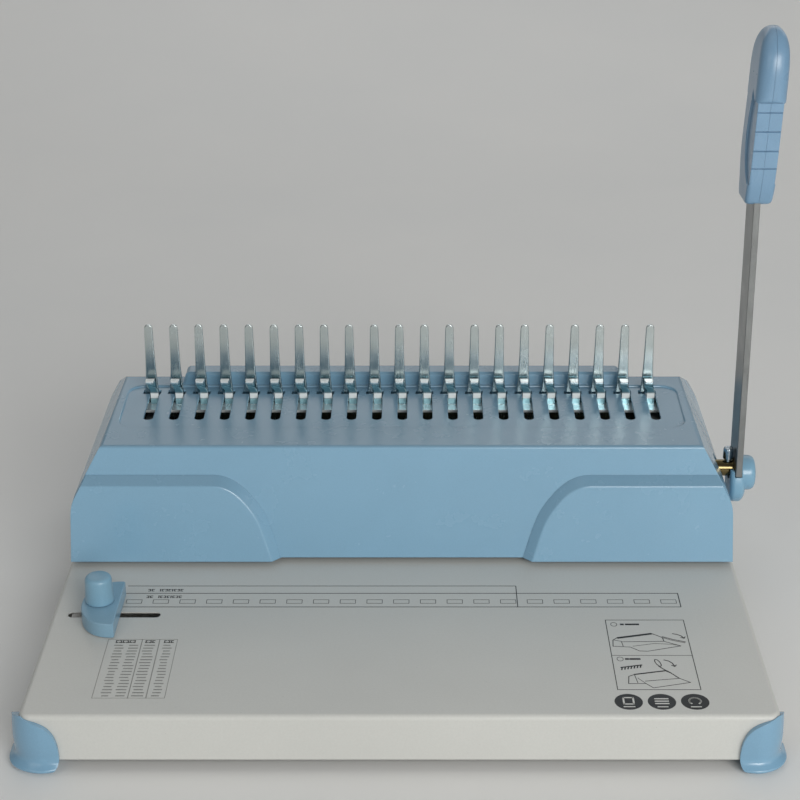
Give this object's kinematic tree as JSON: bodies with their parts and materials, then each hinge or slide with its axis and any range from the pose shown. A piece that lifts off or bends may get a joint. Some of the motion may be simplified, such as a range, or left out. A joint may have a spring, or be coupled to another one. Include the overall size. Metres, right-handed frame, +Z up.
{
  "type": "comb binding machine",
  "caption": "Desktop comb binding machine: lever-driven rectangular-hole punch with a ring opener for plastic combs, paper guide and chip tray.",
  "frame": {"origin": "centre of the footprint on the floor, under the feet", "axes": "+X to the user's right along the row of holes, +Y away from the user, +Z up"},
  "size_m": [0.3906, 0.306, 0.3187],
  "materials": {
    "deck_paint": "pale grey powder coat, fine satin texture",
    "foot_plastic": "moulded grey-blue plastic, satin",
    "cover_plastic": "moulded grey-blue ABS, fine spark texture",
    "zinc_frame": "zinc-plated sheet steel",
    "tool_steel": "ground tool steel",
    "bush_plastic": "natural acetal",
    "bright_zinc": "bright nickel-plated steel",
    "spring_steel": "drawn spring wire",
    "yellow_zinc": "yellow passivated steel",
    "lever_steel": "dark plated flat bar",
    "lever_plastic": "moulded grey-blue plastic, satin",
    "guide_plastic": "moulded grey-blue plastic, satin",
    "tray_plastic": "moulded dark grey plastic"
  },
  "bodies": {
    "root": {"base_plate": "deck_paint", "foot_front_left": "foot_plastic", "foot_front_right": "foot_plastic", "foot_rear_left": "foot_plastic", "foot_rear_right": "foot_plastic", "top_cover": "cover_plastic", "side_frame_left": "zinc_frame", "side_frame_right": "zinc_frame", "cross_frame": "zinc_frame", "tray_runner": "zinc_frame", "slide_rail_left": "zinc_frame", "slide_rail_right": "zinc_frame", "guide_plate": "zinc_frame", "paper_stop": "zinc_frame", "shaft_bush_left": "bush_plastic", "shaft_bush_right": "bush_plastic", "die_plate": "tool_steel", "tine_plate": "bright_zinc"},
    "cam_body": {"punch_cam_left": "tool_steel", "punch_cam_right": "tool_steel"},
    "lever": {"main_shaft": "yellow_zinc", "lever_bar": "lever_steel", "lever_hub": "lever_plastic", "pivot_cap": "lever_plastic", "grip_shell_inner": "lever_plastic", "grip_shell_outer": "lever_plastic", "opener_arm_left": "tool_steel", "opener_arm_right": "tool_steel", "drive_dog_left": "tool_steel", "drive_dog_right": "tool_steel"},
    "punch_carriage": {"punch_bar": "tool_steel", "pin_retainer": "tool_steel", "return_spring_left": "spring_steel", "return_spring_right": "spring_steel", "punch_pin_01": "tool_steel", "punch_pin_02": "tool_steel", "punch_pin_03": "tool_steel", "punch_pin_04": "tool_steel", "punch_pin_05": "tool_steel", "punch_pin_06": "tool_steel", "punch_pin_07": "tool_steel", "punch_pin_08": "tool_steel", "punch_pin_09": "tool_steel", "punch_pin_10": "tool_steel", "punch_pin_11": "tool_steel", "punch_pin_12": "tool_steel", "punch_pin_13": "tool_steel", "punch_pin_14": "tool_steel", "punch_pin_15": "tool_steel", "punch_pin_16": "tool_steel", "punch_pin_17": "tool_steel", "punch_pin_18": "tool_steel", "punch_pin_19": "tool_steel", "punch_pin_20": "tool_steel", "punch_pin_21": "tool_steel"},
    "ring_opener": {"opener_slide": "bright_zinc"},
    "side_guide": {"edge_guide": "guide_plastic", "guide_nut": "lever_steel"},
    "clamp_knob": {"guide_knob": "guide_plastic"},
    "tray": {"chip_tray": "tray_plastic"}
  },
  "joints": [
    {"name": "punch_pull", "type": "hinge", "parent": "root", "child": "cam_body", "pos_m": [-0.00575, 0.044, 0.07], "axis": [1, 0, 0], "range_deg": [0, 80]},
    {"name": "opener_push", "type": "hinge", "parent": "cam_body", "child": "lever", "pos_m": [-0.00575, 0.044, 0.07], "axis": [1, 0, 0], "range_deg": [-42, 0]},
    {"name": "punch_stroke", "type": "slide", "parent": "root", "child": "punch_carriage", "axis": [0, 0, -1], "range_m": [0, 0.009], "deforming": ["return_spring_left", "return_spring_right"]},
    {"name": "opener_travel", "type": "slide", "parent": "root", "child": "ring_opener", "axis": [0, -1, 0], "range_m": [0, 0.0187]},
    {"name": "guide_travel", "type": "slide", "parent": "root", "child": "side_guide", "axis": [1, 0, 0], "range_m": [-0.0148, 0.0286]},
    {"name": "guide_clamp", "type": "hinge", "parent": "side_guide", "child": "clamp_knob", "pos_m": [-0.16415, -0.053, 0.0398], "axis": [0, 0, 1], "range_deg": [0, 180]},
    {"name": "tray_pull", "type": "slide", "parent": "root", "child": "tray", "axis": [-1, 0, 0], "range_m": [0, 0.25]}
  ],
  "couplings": [
    {"joint": "punch_pull", "follows": "punch_stroke", "rad_per_m": 155.13},
    {"joint": "opener_push", "follows": "opener_travel", "rad_per_m": -39.19}
  ]
}
